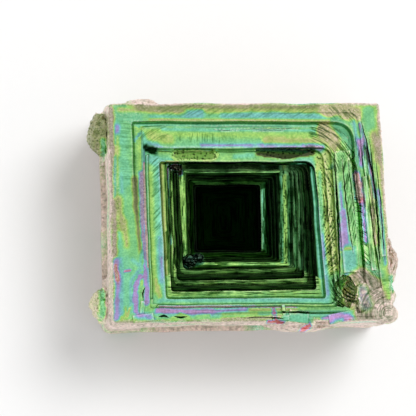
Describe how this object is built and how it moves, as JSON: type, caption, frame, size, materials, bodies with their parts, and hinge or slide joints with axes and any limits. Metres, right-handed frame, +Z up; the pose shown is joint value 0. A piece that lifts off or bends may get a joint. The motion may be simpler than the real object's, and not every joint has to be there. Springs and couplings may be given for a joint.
{
  "type": "bismuth hopper crystal",
  "caption": "Blocky bismuth hopper crystal, cut flat below, with nested rectangular ledges stepping down round a deep square pit and shallow stepped hollows in its sides.",
  "frame": {"origin": "middle of the footprint's bounding box, on the surface that the crystal stands on", "axes": "+Z up, out of the pit; +X along the longer side, towards the side with the slanting ridges; +Y towards the plain rim"},
  "size_m": [0.0473, 0.035, 0.0264],
  "materials": {
    "bismuth": "bright native bismuth under a thin iridescent oxide film: green and teal with yellow-green, violet and pink bands, dark green in the pit, grey-beige on the broken outer edges"
  },
  "bodies": {
    "root": {"bismuth_crystal": "bismuth"}
  },
  "joints": []
}
